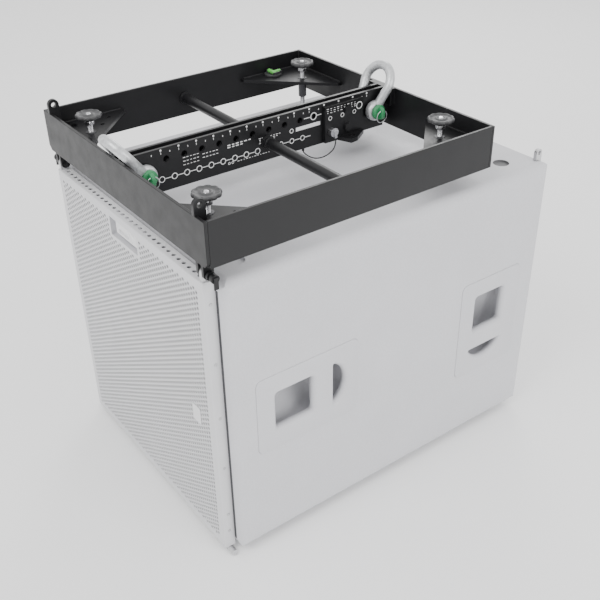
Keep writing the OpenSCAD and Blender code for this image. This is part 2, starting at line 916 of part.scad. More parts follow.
module hoist_bracket() {
  x0 = bracket_x;
  x1 = bracket_x + bracket_t;
  color("#1b1b1d") {
    difference() {
      union() {
        slab([x0, 46, ring_lo + 1], [x1, 140, ring_hi - 6]);
        translate([0, 0, ring_lo + 1]) linear_extrude(8)
          polygon([[x1 - 1, 76], [50, 88], [48, 106], [26, 139], [x1 - 1, 139]]);
      }
      x_rod(x0 - 1, x1 + 1, quick_y, low_hole_z, quick_r + run);
      for (z = [low_hole_z, pickup_z]) x_rod(x0 - 1, x1 + 1, bolt_y, z, pickup_r);
      z_rod(ring_lo, ring_lo + 12, 35, 102, 6);
    }
    for (z = [low_hole_z, pickup_z]) {
      x_rod(-spine_out - 6, x1 + 1, bolt_y, z, pickup_r - 0.05);
      x_rod(x1, x1 + 6, bolt_y, z, 9, $fn = 6);
      x_rod(-spine_out - 9, -spine_out, bolt_y, z, 9, $fn = 6);
    }
  }
}

module bracket_pin() {
  head = bracket_x + bracket_t + 0.3;
  color("silver") {
    x_rod(-spine_out - 8, head + 0.1, quick_y, low_hole_z, quick_r);
    x_rod(head, head + 12, quick_y, low_hole_z, 9);
    slab([head + 11.9, quick_y - 3, low_hole_z - 10], [head + 16, quick_y + 3, low_hole_z + 4]);
  }
}

// Rings of points swept along a route; each ring faces the local direction of the route
function unit(v) = v / norm(v);
function along(path, i) =
  unit(path[min(i + 1, len(path) - 1)] - path[max(i - 1, 0)]);
function ring_at(path, i, r, sides) =
  let (t = along(path, i), u = unit(cross(t, [0.2, 0.9, 0.35])), v = cross(t, u))
  [for (k = [0 : sides - 1]) path[i] + r * (cos(360 * k / sides) * u + sin(360 * k / sides) * v)];

module tube(path, r, sides) {
  last = len(path) - 1;
  points = [for (i = [0 : last]) each ring_at(path, i, r, sides)];
  skin = [for (i = [0 : last - 1], k = [0 : sides - 1])
    let (n = (k + 1) % sides)
    [i * sides + k, (i + 1) * sides + k, (i + 1) * sides + n, i * sides + n]];
  start_cap = [for (k = [0 : sides - 1]) k];
  end_cap = [for (k = [sides - 1 : -1 : 0]) last * sides + k];
  polyhedron(points, concat(skin, [start_cap, end_cap]), convexity = 8);
}

module pin_lanyard() {
  color("black") tube(lanyard_route, cord_r, 8);
}

// ---------- spirit level ----------

module spirit_level() {
  color("#2f4f3a") translate([-ring_x + 27, jack_rear_y - 38.3, gusset_hi]) {
    cylinder(h = 5, r = 19);
    translate([-13, 8, 8]) rotate([0, 90, 0]) cylinder(h = 26, r = 4.5);
    translate([8, -15, 8]) rotate([-90, 0, 0]) cylinder(h = 18, r = 4.5);
  }
}

top_panel();
bottom_panel();
left_panel();
right_panel();
back_panel();
front_baffle();
port_shelf();
window_brace();
damping_lining();
grille();
grille_foam();
grille_badge();
window_cup();
window_latch();
handle_front_right();
handle_rear_right();
handle_front_left();
handle_rear_left();
panel_screws();
rigging_rails();
rear_link_left();
rear_link_right();
rubber_feet();
woofer_basket();
woofer_magnet();
woofer_cone();
woofer_surround();
woofer_spider();
voice_coil();
connector_plate();
connector_sockets();
frame_front();
frame_rear();
frame_left();
frame_right();
corner_gussets();
spine_left();
spine_right();
spine_spacers();
cross_tubes();
front_lugs();
front_pin_left();
front_pin_right();
jack_bushes();
jack_foot_fl();
jack_foot_fr();
jack_foot_rl();
jack_foot_rr();
jack_screw_fl();
jack_screw_fr();
jack_screw_rl();
jack_screw_rr();
shackle_front();
shackle_front_pin();
shackle_rear();
shackle_rear_pin();
hoist_bracket();
bracket_pin();
pin_lanyard();
spirit_level();
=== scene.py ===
"""Looks of a flyable subwoofer cabinet with its black flying frame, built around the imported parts."""
import json
import math

import bmesh
import bpy
import numpy as np
from mathutils import Matrix, Vector
from mathutils.geometry import delaunay_2d_cdt


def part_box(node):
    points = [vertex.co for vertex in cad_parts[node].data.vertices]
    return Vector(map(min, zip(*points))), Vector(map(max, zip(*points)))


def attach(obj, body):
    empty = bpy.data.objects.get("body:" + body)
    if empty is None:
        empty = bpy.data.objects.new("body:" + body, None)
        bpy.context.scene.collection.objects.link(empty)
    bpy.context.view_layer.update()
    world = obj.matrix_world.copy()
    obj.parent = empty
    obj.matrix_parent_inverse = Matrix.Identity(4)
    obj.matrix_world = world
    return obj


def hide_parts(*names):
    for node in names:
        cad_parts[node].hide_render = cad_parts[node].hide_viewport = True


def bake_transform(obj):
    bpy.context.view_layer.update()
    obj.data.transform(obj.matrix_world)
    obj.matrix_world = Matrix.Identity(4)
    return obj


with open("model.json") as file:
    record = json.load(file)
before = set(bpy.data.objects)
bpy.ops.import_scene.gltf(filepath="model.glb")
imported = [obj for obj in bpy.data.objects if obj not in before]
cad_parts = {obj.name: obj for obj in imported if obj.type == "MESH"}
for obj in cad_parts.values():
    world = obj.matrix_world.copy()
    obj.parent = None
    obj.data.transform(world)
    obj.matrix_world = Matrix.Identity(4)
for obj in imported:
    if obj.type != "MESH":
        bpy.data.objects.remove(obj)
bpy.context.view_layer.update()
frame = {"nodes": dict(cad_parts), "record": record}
cad = frame["nodes"]
MM = 0.001


# ---------- camera, lights and floor ----------

def place_camera():
    """A camera whose axes are worked out from its turn, its tilt down and a small roll."""
    place = Vector((1.2957, -0.9399, 1.3097))
    turn, tilt, roll = math.radians(-54.42), math.radians(32.97), math.radians(-1.15)
    ahead = Vector((math.sin(turn) * math.cos(tilt), math.cos(turn) * math.cos(tilt), -math.sin(tilt)))
    right = Vector((math.cos(turn), -math.sin(turn), 0.0))
    up = right.cross(ahead)
    rolled_right = math.cos(roll) * right + math.sin(roll) * up
    rolled_up = -math.sin(roll) * right + math.cos(roll) * up
    lens = bpy.data.cameras.new("camera")
    lens.sensor_width = 36.0
    lens.lens = 52.6
    lens.shift_x = 0.0037
    lens.shift_y = 0.009
    lens.clip_end = 50.0
    camera = bpy.data.objects.new("camera", lens)
    axes = Matrix((rolled_right, rolled_up, -ahead)).transposed()
    camera.matrix_world = Matrix.Translation(place) @ axes.to_4x4()
    bpy.context.scene.collection.objects.link(camera)
    bpy.context.scene.camera = camera


def soft_light(name, place, aim, size, power):
    """A square area light at place that faces aim."""
    lamp = bpy.data.lights.new(name, "AREA")
    lamp.shape = "SQUARE"
    lamp.size = size
    lamp.energy = power
    light = bpy.data.objects.new(name, lamp)
    light.location = place
    light.rotation_euler = (Vector(aim) - Vector(place)).to_track_quat("-Z", "Y").to_euler()
    bpy.context.scene.collection.objects.link(light)


def studio():
    world = bpy.data.worlds.new("studio")
    world.use_nodes = True
    world.node_tree.nodes["Background"].inputs["Color"].default_value = (1.0, 1.0, 1.0, 1.0)
    world.node_tree.nodes["Background"].inputs["Strength"].default_value = 1.4
    bpy.context.scene.world = world
    soft_light("key", (0.6, -2.2, 3.0), (0, 0, 0.4), 1.6, 48)
    soft_light("side", (3.0, 0.6, 1.6), (0, 0, 0.3), 1.8, 34)
    soft_light("back", (-2.4, 2.4, 2.4), (0, 0, 0.5), 1.4, 34)


place_camera()
studio()


# ---------- materials ----------

class Finish:
    """A node material under construction: a principled shader fed from Object coordinates."""

    def __init__(self, name, roughness, metallic=0.0):
        self.material = bpy.data.materials.new(name)
        self.material.use_nodes = True
        self.tree = self.material.node_tree
        self.shader = self.tree.nodes["Principled BSDF"]
        self.shader.inputs["Roughness"].default_value = roughness
        self.shader.inputs["Metallic"].default_value = metallic
        self.place = self.add("ShaderNodeTexCoord").outputs["Object"]

    def add(self, kind, **values):
        made = self.tree.nodes.new(kind)
        for key, value in values.items():
            setattr(made, key, value)
        return made

    def link(self, source, target):
        self.tree.links.new(source, target)

    def noise(self, size, detail=3.0, stretch=None):
        """Noise whose features are about size metres wide, drawn out along an axis by stretch."""
        source = self.place
        if stretch:
            mapping = self.add("ShaderNodeMapping")
            mapping.inputs["Scale"].default_value = stretch
            self.link(source, mapping.inputs["Vector"])
            source = mapping.outputs["Vector"]
        noise = self.add("ShaderNodeTexNoise")
        noise.inputs["Scale"].default_value = 1.0 / size
        noise.inputs["Detail"].default_value = detail
        self.link(source, noise.inputs["Vector"])
        return noise.outputs["Fac"]

    def cells(self, size, randomness=1.0):
        """Grey cells about size metres wide."""
        voronoi = self.add("ShaderNodeTexVoronoi")
        voronoi.inputs["Scale"].default_value = 1.0 / size
        voronoi.inputs["Randomness"].default_value = randomness
        self.link(self.place, voronoi.inputs["Vector"])
        grey = self.add("ShaderNodeRGBToBW")
        self.link(voronoi.outputs["Color"], grey.inputs["Color"])
        return grey.outputs["Val"]

    def ramp(self, source, low, high, colour_low, colour_high):
        """Colour that goes from colour_low at source low to colour_high at source high."""
        ramp = self.add("ShaderNodeValToRGB")
        ramp.color_ramp.elements[0].position = low
        ramp.color_ramp.elements[1].position = high
        ramp.color_ramp.elements[0].color = (*colour_low, 1.0)
        ramp.color_ramp.elements[1].color = (*colour_high, 1.0)
        self.link(source, ramp.inputs["Fac"])
        return ramp.outputs["Color"]

    def spread(self, source, low, high):
        """Source from 0.3 to 0.7 becomes low to high."""
        scale = self.add("ShaderNodeMapRange")
        scale.inputs["From Min"].default_value = 0.3
        scale.inputs["From Max"].default_value = 0.7
        scale.inputs["To Min"].default_value = low
        scale.inputs["To Max"].default_value = high
        self.link(source, scale.inputs["Value"])
        return scale.outputs["Result"]

    def bump(self, source, height, strength=1.0):
        bump = self.add("ShaderNodeBump")
        bump.inputs["Strength"].default_value = strength
        bump.inputs["Distance"].default_value = height
        self.link(source, bump.inputs["Height"])
        self.link(bump.outputs["Normal"], self.shader.inputs["Normal"])

    def colour(self, source):
        self.link(source, self.shader.inputs["Base Color"])

    def roughness(self, source):
        self.link(source, self.shader.inputs["Roughness"])


def tint(colour, factor):
    return tuple(channel * factor for channel in colour)


def coating(name, colour, roughness, grain, height, drift=0.05, speckle=0.0, metallic=0.0):
    """Sprayed coating: its colour drifts slowly, and a fine grain raises it."""
    f = Finish(name, roughness, metallic)
    slow = f.noise(0.12, 2.0)
    base = f.ramp(slow, 0.3, 0.7, tint(colour, 1.0 - drift), tint(colour, 1.0 + drift * 0.5))
    if speckle:
        dots = f.ramp(f.noise(grain * 1.6, 2.0), 0.35, 0.65, (1 - speckle,) * 3, (1.0,) * 3)
        mix = f.add("ShaderNodeMix", data_type="RGBA", blend_type="MULTIPLY")
        mix.inputs["Factor"].default_value = 1.0
        f.link(base, mix.inputs["A"])
        f.link(dots, mix.inputs["B"])
        base = mix.outputs["Result"]
    f.colour(base)
    f.roughness(f.spread(f.noise(0.03, 3.0), roughness - 0.06, roughness + 0.06))
    f.bump(f.noise(grain, 4.0), height)
    return f.material


def plated_steel(name, colour, roughness, grain, stretch=(1, 1, 1)):
    """Bright plated steel: brushed streaks and cloudy tone."""
    f = Finish(name, roughness, 1.0)
    streaks = f.noise(grain, 4.0, stretch)
    f.colour(f.ramp(streaks, 0.3, 0.7, tint(colour, 0.82), colour))
    f.roughness(f.spread(f.noise(0.01, 3.0), roughness - 0.08, roughness + 0.1))
    f.bump(streaks, 0.00005)
    return f.material


def galvanised(name, colour):
    """Hot dip zinc: dull crystals in patches, with a slightly uneven skin."""
    f = Finish(name, 0.42, 0.75)
    patches = f.cells(0.006)
    f.colour(f.ramp(patches, 0.25, 0.8, tint(colour, 0.86), tint(colour, 1.06)))
    f.roughness(f.spread(f.noise(0.008, 3.0), 0.34, 0.52))
    f.bump(f.noise(0.004, 4.0), 0.00025)
    return f.material


def timber(name, colour):
    f = Finish(name, 0.6)
    grain = f.noise(0.01, 5.0, (1.0, 0.12, 1.0))
    f.colour(f.ramp(grain, 0.3, 0.7, tint(colour, 0.75), colour))
    f.bump(grain, 0.0002)
    return f.material


def felt(name, colour, size):
    f = Finish(name, 0.95)
    fibres = f.noise(size, 6.0)
    f.colour(f.ramp(fibres, 0.25, 0.75, tint(colour, 0.6), tint(colour, 1.15)))
    f.bump(fibres, size * 0.4)
    return f.material


GREY = (0.60, 0.60, 0.625)
FINISHES = {
    "cabinet_paint": coating("cabinet_paint", GREY, 0.55, 0.0022, 0.00022, 0.03, 0.05),
    "grille_paint": coating("grille_paint", (0.62, 0.62, 0.635), 0.5, 0.0015, 0.00006, 0.02),
    "handle_plastic": coating("handle_plastic", (0.58, 0.58, 0.605), 0.5, 0.0016, 0.00010, 0.03, 0.03),
    "baffle_paint": coating("baffle_paint", (0.05, 0.05, 0.055), 0.7, 0.002, 0.0002),
    "frame_black": coating("frame_black", (0.009, 0.009, 0.010), 0.36, 0.0012, 0.00007, 0.1),
    "spine_black": coating("spine_black", (0.006, 0.006, 0.008), 0.36, 0.0012, 0.00004, 0.1),
    "knob_black": coating("knob_black", (0.05, 0.05, 0.052), 0.45, 0.0010, 0.00012, 0.1),
    "bush_steel": plated_steel("bush_steel", (0.10, 0.10, 0.105), 0.4, 0.002),
    "zinc_rod": plated_steel("zinc_rod", (0.72, 0.72, 0.74), 0.28, 0.003, (1, 1, 0.2)),
    "zinc_steel": plated_steel("zinc_steel", (0.66, 0.66, 0.67), 0.36, 0.003),
    "screw_steel": plated_steel("screw_steel", (0.6, 0.6, 0.61), 0.4, 0.002),
    "galvanised": galvanised("galvanised", (0.62, 0.63, 0.64)),
    "green_paint": coating("green_paint", (0.03, 0.24, 0.09), 0.4, 0.0015, 0.0001, 0.1),
    "rubber": coating("rubber", (0.025, 0.025, 0.025), 0.75, 0.0015, 0.0001, 0.1),
    "black_plastic": coating("black_plastic", (0.03, 0.03, 0.032), 0.5, 0.0012, 0.0001, 0.05),
    "plywood": timber("plywood", (0.60, 0.44, 0.28)),
    "wool": felt("wool", (0.35, 0.35, 0.34), 0.003),
    "foam": felt("foam", (0.10, 0.10, 0.10), 0.0015),
    "badge": coating("badge", (0.72, 0.72, 0.73), 0.3, 0.002, 0.00003, 0.02),
    "cast_black": coating("cast_black", (0.03, 0.03, 0.032), 0.5, 0.002, 0.0002, 0.1),
    "ferrite": plated_steel("ferrite", (0.12, 0.12, 0.125), 0.5, 0.004),
    "cone_paper": felt("cone_paper", (0.035, 0.035, 0.035), 0.002),
    "surround_cloth": felt("surround_cloth", (0.05, 0.05, 0.05), 0.0015),
    "copper": plated_steel("copper", (0.72, 0.43, 0.25), 0.3, 0.001),
    "socket_plastic": coating("socket_plastic", (0.03, 0.06, 0.22), 0.3, 0.0015, 0.00004, 0.05),
    "print_white": coating("print_white", (0.80, 0.80, 0.80), 0.5, 0.002, 0.00002, 0.02),
    "vial_green": coating("vial_green", (0.13, 0.50, 0.10), 0.15, 0.003, 0.00001, 0.02),
    "cord_black": coating("cord_black", (0.02, 0.02, 0.02), 0.5, 0.0008, 0.0002, 0.1),
    # Dark grey painted shade for the rear recesses of the top, laid on the thin cups that line them.
    "liner": coating("liner", (0.16, 0.16, 0.165), 0.6, 0.002, 0.0001),
    "floor": coating("floor", (0.97, 0.97, 0.97), 0.7, 0.01, 0.00001, 0.005),
}
for dark in ("frame_black", "spine_black"):
    FINISHES[dark].node_tree.nodes["Principled BSDF"].inputs["Specular IOR Level"].default_value = 0.32
FINISHES["pin_black"] = FINISHES["frame_black"]
FINISHES["level_plastic"] = FINISHES["black_plastic"]


def dress_cad_nodes():
    """Every carried-over part gets the finish of its material slot."""
    for part in frame["record"]["subparts"]:
        mesh = cad[part["node"]].data
        mesh.materials.clear()
        mesh.materials.append(FINISHES[part["material_slot"]])


def lay_floor():
    size = 6.0
    mesh = bpy.data.meshes.new("floor")
    corners = [(-size, -size, 0), (size, -size, 0), (size, size, 0), (-size, size, 0)]
    mesh.from_pydata(corners, [], [(0, 1, 2, 3)])
    mesh.materials.append(FINISHES["floor"])
    floor = bpy.data.objects.new("floor", mesh)
    bpy.context.scene.collection.objects.link(floor)


# ---------- surfaces and pieces ----------

def piece(name, verts, faces, finish, body="root", stands_for=(), slot=None, crease=35.0, weld=1e-6):
    """A mesh from arrays: doubles merged, faces turned outwards, edges over crease degrees kept sharp."""
    mesh = bpy.data.meshes.new(name)
    mesh.from_pydata(np.asarray(verts, float).tolist(), [], [list(map(int, f)) for f in faces])
    work = bmesh.new()
    work.from_mesh(mesh)
    bmesh.ops.remove_doubles(work, verts=work.verts, dist=weld)
    bmesh.ops.recalc_face_normals(work, faces=work.faces)
    work.to_mesh(mesh)
    work.free()
    return dressed(name, mesh, finish, body, stands_for, crease)


def dressed(name, mesh, finish, body="root", stands_for=(), crease=35.0):
    """The finished mesh as an object that rides on a body and stands for CAD nodes."""
    mesh.materials.clear()
    mesh.materials.append(FINISHES[finish])
    mesh.shade_smooth()
    mesh.set_sharp_from_angle(angle=math.radians(crease))
    made = bpy.data.objects.new(name, mesh)
    bpy.context.scene.collection.objects.link(made)
    if body:
        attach(made, body)
    if stands_for:
        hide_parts(*stands_for)
    return made


def grid_faces(rows, columns, closed_columns=True):
    """Quads between neighbouring rows of a grid of points, row by row."""
    i = np.arange(rows - 1)[:, None]
    j = np.arange(columns if closed_columns else columns - 1)[None, :]
    k = (j + 1) % columns
    quads = np.stack([i * columns + j, i * columns + k, (i + 1) * columns + k, (i + 1) * columns + j], -1)
    return quads.reshape(-1, 4)


def capped_grid(points):
    """Rows of closed loops as one shell: quads between loops, and a fan to the middle of each end loop."""
    rows, columns = points.shape[:2]
    verts = np.concatenate([points.reshape(-1, 3), points[0].mean(0)[None], points[-1].mean(0)[None]])
    faces = grid_faces(rows, columns).tolist()
    first, last = rows * columns, rows * columns + 1
    for j in range(columns):
        k = (j + 1) % columns
        faces.append([first, k, j])
        faces.append([last, (rows - 1) * columns + j, (rows - 1) * columns + k])
    return verts, faces


def joined(shells):
    """Several shells of points and faces as one."""
    verts, faces, base = [], [], 0
    for points, loops in shells:
        verts.append(np.asarray(points, float))
        faces.extend([[base + i for i in loop] for loop in loops])
        base += len(points)
    return np.concatenate(verts), faces


def turned(profile, centre, axis, sides=48, lobes=0, depth=0.0):
    """A profile of (radius, height) turned about an axis through centre; lobes waves of depth scallop it."""
    profile = np.asarray(profile, float)
    angle = np.linspace(0, 2 * np.pi, sides, endpoint=False)
    wave = 1.0 - depth * (0.5 - 0.5 * np.cos(lobes * angle)) ** 2 if lobes else np.ones(sides)
    share = profile[:, 0] / max(profile[:, 0].max(), 1e-9)
    radius = profile[:, :1] * (1.0 - (1.0 - wave)[None, :] * share[:, None])
    across, along = {"x": ((1, 2), 0), "y": ((2, 0), 1), "z": ((0, 1), 2)}[axis]
    points = np.zeros((len(profile), sides, 3))
    points[..., across[0]] = radius * np.cos(angle)
    points[..., across[1]] = radius * np.sin(angle)
    points[..., along] = profile[:, 1:]
    return capped_grid(points + np.asarray(centre, float))


def tube(path, radius, sides=16, up=(1.0, 0.0, 0.0), ripple=0.0, waves=0):
    """A round section carried along a path; radius may change along it, and ripple makes a weld's scales."""
    path = np.asarray(path, float)
    ahead = np.gradient(path, axis=0)
    ahead /= np.linalg.norm(ahead, axis=1, keepdims=True)
    side = np.cross(ahead, np.asarray(up, float))
    side /= np.linalg.norm(side, axis=1, keepdims=True)
    over = np.cross(side, ahead)
    angle = np.linspace(0, 2 * np.pi, sides, endpoint=False)
    size = np.broadcast_to(np.asarray(radius, float), (len(path),)).copy()
    if ripple:
        size *= 1.0 + ripple * np.sin(np.linspace(0, 2 * np.pi * waves, len(path)))
    ring = np.cos(angle)[None, :, None] * side[:, None] + np.sin(angle)[None, :, None] * over[:, None]
    return capped_grid(path[:, None] + size[:, None, None] * ring)


def rounded_rectangle(width, height, radius, per_corner=8, grow=0.0):
    """The outline of a rectangle with round corners, grown outwards by grow, anticlockwise."""
    turn = np.linspace(0, np.pi / 2, per_corner)
    corners = []
    for quarter, (sx, sy) in enumerate(((1, 1), (-1, 1), (-1, -1), (1, -1))):
        angle = turn + quarter * np.pi / 2
        centre = np.array([sx * (width / 2 - radius), sy * (height / 2 - radius)])
        corners.append(centre + (radius + grow) * np.stack([np.cos(angle), np.sin(angle)], -1))
    return np.concatenate(corners)


def flat_region(outer, holes):
    """Triangles that fill the outline outer outside the hole outlines, over all their points in order."""
    loops = [np.asarray(outer, float)] + [np.asarray(hole, float) for hole in holes]
    points = [Vector(p) for loop in loops for p in loop]
    edges, base = [], 0
    for loop in loops:
        edges += [(base + i, base + (i + 1) % len(loop)) for i in range(len(loop))]
        base += len(loop)
    found = delaunay_2d_cdt(points, edges, [], 0, 1e-9)
    verts = np.array([tuple(v) for v in found[0]])
    faces = np.array([tuple(f) for f in found[2] if len(f) == 3])
    middle = verts[faces].mean(1)
    keep = inside(middle, loops[0])
    for loop in loops[1:]:
        keep &= ~inside(middle, loop)
    return verts, faces[keep]


def inside(points, loop):
    """Even-odd rule: a point is inside where a ray to its right crosses the loop an odd number of times."""
    ax, ay = loop[:, 0], loop[:, 1]
    bx, by = np.roll(ax, -1), np.roll(ay, -1)
    px, py = points[:, :1], points[:, 1:]
    spans = (ay > py) != (by > py)
    with np.errstate(divide="ignore", invalid="ignore"):
        cross = ax + (py - ay) / (by - ay) * (bx - ax)
    return (spans & (px < cross)).sum(1) % 2 == 1


def softened(node, finish, width, segments=2, body="root", crease=40.0, name=None):
    """A copy of a CAD node with its doubles merged, its flat faces joined and its edges rounded by width."""
    mesh = cad[node].data.copy()
    work = bmesh.new()
    work.from_mesh(mesh)
    bmesh.ops.remove_doubles(work, verts=work.verts, dist=2e-6)
    bmesh.ops.dissolve_limit(work, angle_limit=math.radians(0.8), use_dissolve_boundaries=False,
                             verts=work.verts, edges=work.edges)
    work.to_mesh(mesh)
    work.free()
    made = dressed(name or node + "_finished", mesh, finish, body, (node,), crease)
    bevel = made.modifiers.new("edges", "BEVEL")
    bevel.width = width
    bevel.segments = segments
    bevel.limit_method = "ANGLE"
    bevel.angle_limit = math.radians(38)
    bevel.use_clamp_overlap = True
    bevel.harden_normals = True
    return made


def slots_by_node():
    return {part["node"]: part["material_slot"] for part in frame["record"]["subparts"]}


# ---------- lanyard of the quick-release pin ----------

LANYARD = np.array([
    (36, 60, 654), (36, 60, 648), (35.4, 59.4, 641), (34, 58, 634), (31.5, 55, 627.5),
    (28.5, 50, 622), (25.5, 43.5, 617.8), (22.5, 36, 615.3), (19.5, 28, 614.8), (17, 20.5, 616.4),
    (14.8, 13.8, 619.6), (12.8, 8, 623.8), (11.2, 3.6, 628.2), (10.2, 0.8, 632), (10, 0, 635)]) * MM


def smooth_path(points, steps):
    """A Catmull-Rom curve through points: each stretch is a cubic of its two ends and their neighbours."""
    padded = np.concatenate([2 * points[:1] - points[1:2], points, 2 * points[-1:] - points[-2:-1]])
    t = np.linspace(0, 1, steps, endpoint=False)[:, None]
    stretches = []
    for a, b, c, d in zip(padded[:-3], padded[1:-2], padded[2:-1], padded[3:]):
        stretches.append(0.5 * (2 * b + (c - a) * t + (2 * a - 5 * b + 4 * c - d) * t ** 2
                                + (3 * b - a - 3 * c + d) * t ** 3))
    return np.concatenate(stretches + [points[-1:]])


def lanyard():
    """Laid wire rope: a round section whose radius waves around it and along it, as twisted strands do."""
    path = smooth_path(LANYARD, 8)
    ahead = np.gradient(path, axis=0)
    ahead /= np.linalg.norm(ahead, axis=1, keepdims=True)
    side = np.cross(ahead, (1.0, -0.35, 0.0))
    side /= np.linalg.norm(side, axis=1, keepdims=True)
    over = np.cross(side, ahead)
    run = np.concatenate([[0], np.cumsum(np.linalg.norm(np.diff(path, axis=0), axis=1))])
    angle = np.linspace(0, 2 * np.pi, 18, endpoint=False)
    radius = 0.00125 * (1.0 - 0.10 * (0.5 + 0.5 * np.cos(6 * angle[None] + run[:, None] / 0.0018)))
    ring = np.cos(angle)[None, :, None] * side[:, None] + np.sin(angle)[None, :, None] * over[:, None]
    verts, faces = capped_grid(path[:, None] + radius[..., None] * ring)
    rope = piece("pin_lanyard_rope", verts, faces, "cord_black", body=None, stands_for=("pin_lanyard",),
                 slot="cord_black", crease=80)
    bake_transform(rope)


# ---------- perforated grille ----------

PITCH_X, PITCH_Z, HOLE = 8.3 * MM, 10.0 * MM, 3.35 * MM
HOLE_SIDES = 10


def cell_template(width, height, radius):
    """One cell of the sheet: a six-cornered outline round a hole, and the triangles between the two."""
    outline = np.array([(-1, -1), (1, -1), (1, 0), (1, 1), (-1, 1), (-1, 0)]) * (width / 2, height / 2)
    angle = 2 * np.pi * (np.arange(HOLE_SIDES) + 0.5) / HOLE_SIDES
    hole = radius * np.stack([np.cos(angle), np.sin(angle)], -1)
    verts, faces = flat_region(outline, [hole])
    return verts, faces


def perforated(columns, rows, keep, origin, outer, cutouts):
    """A staggered field of holed cells inside outer, and plain sheet over the rest of it.
    Returns flat points, triangles and the rim loops of every opening, for a front at depth zero."""
    cell, cell_faces = cell_template(PITCH_X, PITCH_Z, HOLE)
    centres = np.array([(origin[0] + (i + 0.5) * PITCH_X, origin[1] + (j + 0.5 + 0.5 * (i % 2)) * PITCH_Z)
                        for i in range(columns) for j in range(rows - (i % 2))])
    centres = centres[keep(centres)]
    count = len(cell)
    points = (centres[:, None] + cell[None]).reshape(-1, 2)
    offsets = np.arange(len(centres))[:, None, None] * count
    triangles = (cell_faces[None] + offsets).reshape(-1, 3)
    outline = (centres[:, None] + cell[None, :6]).reshape(-1, 6, 2)
    starts = outline.reshape(-1, 2)
    ends = np.roll(outline, -1, axis=1).reshape(-1, 2)
    one = np.round(starts / (0.05 * MM)).astype(int)
    two = np.round(ends / (0.05 * MM)).astype(int)
    edges = {}
    for a, b, start_point in zip(map(tuple, one), map(tuple, two), starts):
        if (b, a) in edges:
            del edges[(b, a)]
        else:
            edges[(a, b)] = start_point
    loops = chained(edges)
    plain, plain_faces = flat_region(outer, loops + list(cutouts))
    rims = (centres[:, None] + cell[None, 6:]).reshape(-1, HOLE_SIDES, 2)
    triangles = np.concatenate([triangles, plain_faces + len(points)])
    return np.concatenate([points, plain]), triangles, list(rims) + list(cutouts)


def chained(edges):
    """Loops of edges that follow each other. An edge is its start key, its end key and its start point."""
    following = {}
    for (a, b), start_point in edges.items():
        following.setdefault(a, []).append((b, start_point))
    loops = []
    while following:
        start = next(iter(following))
        loop, key = [], start
        while key in following:
            after, point = following[key].pop()
            if not following[key]:
                del following[key]
            loop.append(point)
            key = after
            if key == start:
                break
        loops.append(np.array(loop))
    return loops


def sheet_shell(points, triangles, rims, place, thickness):
    """Flat points as a closed sheet: a front, a back at thickness, and a wall round each opening.
    place maps flat points and a depth to space."""
    front, back = place(points, 0.0), place(points, thickness)
    count = len(points)
    shells = [(np.concatenate([front, back]),
               triangles.tolist() + (triangles[:, ::-1] + count).tolist())]
    for rim in rims:
        sides = len(rim)
        walls = np.stack([place(rim, 0.0), place(rim, thickness)])
        shells.append((walls.reshape(-1, 3), grid_faces(2, sides).tolist()))
    return shells


def grille():
    """A folded box of perforated sheet: a staggered field of round holes on the front, a row of holes
    along the top fold, plain folded edges with a small bend, and a window for the latch."""
    lo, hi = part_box("grille")
    window_lo, window_hi = (-51.5 * MM, 555 * MM), (51.5 * MM, 592 * MM)
    bend, sheet = 2.5 * MM, 1.5 * MM
    columns, rows = 62, 56
    origin = (-columns * PITCH_X / 2, lo.z + 15 * MM)
    low, high = (lo.x + bend, lo.z + bend), (hi.x - bend, hi.z - bend)
    outer = np.array([low, (high[0], low[1]), high, (low[0], high[1])])
    cut = np.array([window_lo, (window_hi[0], window_lo[1]), window_hi, (window_lo[0], window_hi[1])])
    gap = 3 * MM

    def clear_of_window(centres):
        near_x = np.abs(centres[:, 0]) < window_hi[0] + PITCH_X / 2 + gap
        reach = PITCH_Z / 2 + gap
        near_z = (centres[:, 1] > window_lo[1] - reach) & (centres[:, 1] < window_hi[1] + reach)
        return ~(near_x & near_z)

    points, triangles, rims = perforated(columns, rows, clear_of_window, origin, outer, [cut])

    def on_front(flat, depth):
        flat = np.asarray(flat)
        return np.stack([flat[:, 0], np.full(len(flat), lo.y + depth), flat[:, 1]], -1)

    shells = sheet_shell(points, triangles, rims, on_front, sheet)
    turn = np.linspace(0, np.pi / 2, 5)
    outside = [(bend * np.sin(a), lo.y + bend * (1 - np.cos(a))) for a in turn] + [(bend, hi.y)]
    inner = bend - sheet
    within = [(inner, hi.y)] + [(inner * np.sin(a), lo.y + bend - inner * np.cos(a)) for a in turn[::-1]]
    corner = np.array([(-1, -1), (1, -1), (1, 1), (-1, 1)])
    rings = np.array([[(x + s * grow, y, z + t * grow) for (x, z), (s, t) in zip(outer, corner)]
                      for grow, y in outside + within])
    top_side = 2
    kept = [quad for quad in grid_faces(len(rings), 4).tolist()
            if not (quad[0] % 4 == top_side and (quad[0] // 4 == 4 or quad[0] // 4 == 6))]
    shells.append((rings.reshape(-1, 3), kept))
    shells += top_fold(lo, hi, bend, sheet, outer)
    verts, faces = joined(shells)
    piece("grille_sheet", verts, faces, "grille_paint", stands_for=("grille",), slot="grille_paint",
          weld=2e-6)


